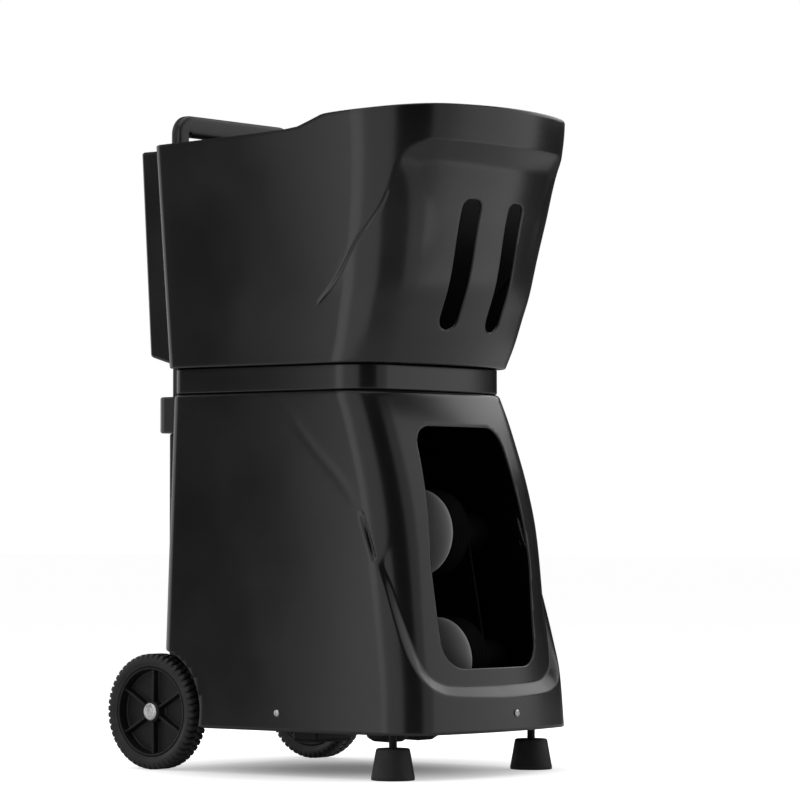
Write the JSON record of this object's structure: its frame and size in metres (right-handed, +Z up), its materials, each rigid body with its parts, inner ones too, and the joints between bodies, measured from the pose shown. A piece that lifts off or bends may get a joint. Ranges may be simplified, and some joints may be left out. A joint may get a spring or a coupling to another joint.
{
  "type": "tennis ball machine",
  "caption": "Wheeled tennis ball launcher: open hopper above a flared base with a front launch window, launcher wheels, telescopic handle, rear wheels and rubber feet.",
  "frame": {"origin": "on the floor, at the middle of the overall box", "axes": "+Z up, the launch window faces -Y, +X is the right side seen from behind"},
  "size_m": [0.3236, 0.456, 0.726],
  "materials": {
    "shell_plastic": "satin black moulding, fine grain",
    "trim_plastic": "matte black",
    "inner_plastic": "matte dark grey",
    "tyre": "moulded rubber",
    "rubber": "matte",
    "steel": "brushed",
    "dark_metal": "satin black",
    "board": "green laminate",
    "lens": "clear green"
  },
  "bodies": {
    "chassis": {"base_shell": "shell_plastic", "base_tray": "inner_plastic", "battery": "inner_plastic", "battery_strap": "dark_metal", "charge_socket": "dark_metal", "control_board": "board", "control_panel": "trim_plastic", "feed_chute": "inner_plastic", "feed_deck": "inner_plastic", "feed_motor": "dark_metal", "front_screw": "steel", "handle_clamp": "trim_plastic", "handle_foot": "trim_plastic", "hopper_funnel": "inner_plastic", "hopper_shell": "shell_plastic", "left_axle_bracket": "trim_plastic", "left_axle_nut": "steel", "left_foot_nut": "steel", "left_handle_sleeve": "trim_plastic", "left_side_screw": "steel", "neck_ring": "shell_plastic", "rear_box": "shell_plastic", "right_axle_bracket": "trim_plastic", "right_axle_nut": "steel", "right_foot_nut": "steel", "right_handle_sleeve": "trim_plastic", "right_side_screw": "steel", "status_lens": "lens", "wheel_axle": "steel", "wheel_well_left": "inner_plastic", "wheel_well_right": "inner_plastic", "yaw_motor": "dark_metal"},
    "handle": {"handle_grip": "trim_plastic", "left_handle_tube": "dark_metal", "right_handle_tube": "dark_metal"},
    "left_wheel": {"left_wheel_rim": "trim_plastic", "left_wheel_tyre": "tyre"},
    "right_wheel": {"right_wheel_rim": "trim_plastic", "right_wheel_tyre": "tyre"},
    "left_foot": {"left_foot_pad": "rubber", "left_foot_stem": "dark_metal"},
    "right_foot": {"right_foot_pad": "rubber", "right_foot_stem": "dark_metal"},
    "rotor": {"feed_rotor": "trim_plastic", "rotor_shaft": "steel"},
    "turntable": {"yaw_turntable": "dark_metal", "tilt_yoke": "dark_metal", "tilt_motor": "dark_metal"},
    "launcher": {"launcher_frame": "dark_metal", "upper_wheel_motor": "dark_metal", "lower_wheel_motor": "dark_metal"},
    "upper_launch_wheel": {"upper_wheel_hub": "trim_plastic", "upper_wheel_tread": "rubber"},
    "lower_launch_wheel": {"lower_wheel_hub": "trim_plastic", "lower_wheel_tread": "rubber"},
    "switch": {"power_switch": "rubber"},
    "button": {"start_button": "inner_plastic"}
  },
  "joints": [
    {"name": "left_wheel_spin", "type": "hinge", "parent": "chassis", "child": "left_wheel", "pos_m": [-0.137, 0.1645, 0.0635], "axis": [1, 0, 0], "continuous": true},
    {"name": "right_wheel_spin", "type": "hinge", "parent": "chassis", "child": "right_wheel", "pos_m": [0.137, 0.1645, 0.0635], "axis": [1, 0, 0], "continuous": true},
    {"name": "handle_slide", "type": "slide", "parent": "chassis", "child": "handle", "axis": [0, 0, 1], "range_m": [0, 0.25]},
    {"name": "left_foot_adjust", "type": "slide", "parent": "chassis", "child": "left_foot", "axis": [0, 0, -1], "range_m": [0, 0.012]},
    {"name": "right_foot_adjust", "type": "slide", "parent": "chassis", "child": "right_foot", "axis": [0, 0, -1], "range_m": [0, 0.012]},
    {"name": "feed_rotor_spin", "type": "hinge", "parent": "chassis", "child": "rotor", "pos_m": [0, 0.0275, 0.43], "axis": [0, 0, 1], "continuous": true},
    {"name": "launcher_yaw", "type": "hinge", "parent": "chassis", "child": "turntable", "pos_m": [0, -0.045, 0.0555], "axis": [0, 0, 1], "range_deg": [-10, 10]},
    {"name": "launcher_tilt", "type": "hinge", "parent": "turntable", "child": "launcher", "pos_m": [0, -0.0453, 0.17708], "axis": [1, 0, 0], "range_deg": [-10, 8]},
    {"name": "upper_wheel_spin", "type": "hinge", "parent": "launcher", "child": "upper_launch_wheel", "pos_m": [0, -0.10597, 0.25998], "axis": [1, 0, 0], "continuous": true},
    {"name": "lower_wheel_spin", "type": "hinge", "parent": "launcher", "child": "lower_launch_wheel", "pos_m": [0, -0.13203, 0.12202], "axis": [1, 0, 0], "continuous": true},
    {"name": "power_switch_rock", "type": "hinge", "parent": "chassis", "child": "switch", "pos_m": [-0.03, 0.20506, 0.59974], "axis": [1, 0, 0], "range_deg": [0, 14]},
    {"name": "start_button_press", "type": "slide", "parent": "chassis", "child": "button", "axis": [0, -0.9981, 0.061], "range_m": [0, 0.002], "stiffness_N_per_m": 300, "springref_m": -0.003}
  ]
}
